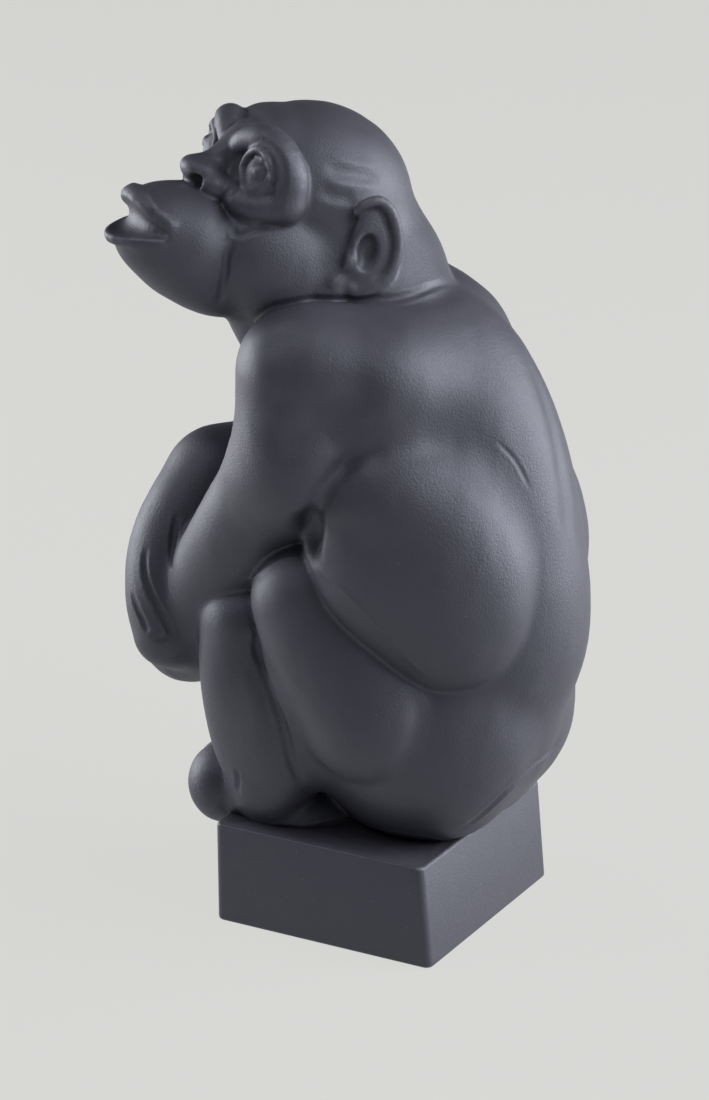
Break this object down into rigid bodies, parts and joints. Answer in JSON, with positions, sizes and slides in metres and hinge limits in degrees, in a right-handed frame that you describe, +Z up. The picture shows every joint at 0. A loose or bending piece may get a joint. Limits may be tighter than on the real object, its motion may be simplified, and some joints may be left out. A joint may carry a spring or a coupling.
{
  "type": "chimpanzee figurine",
  "caption": "Squatting chimpanzee figurine in black stoneware, hugging its knees and looking up over its shoulder, cast in one with a square block base.",
  "frame": {"origin": "middle of the block base's underside", "axes": "+Z up, the body faces -Y, and +X is the chimpanzee's left"},
  "size_m": [0.0717, 0.0966, 0.1629],
  "materials": {
    "black_stoneware": "unglazed black stoneware, fine grained, with a soft satin sheen"
  },
  "bodies": {
    "root": {"chimpanzee_figurine": "black_stoneware"}
  },
  "joints": []
}
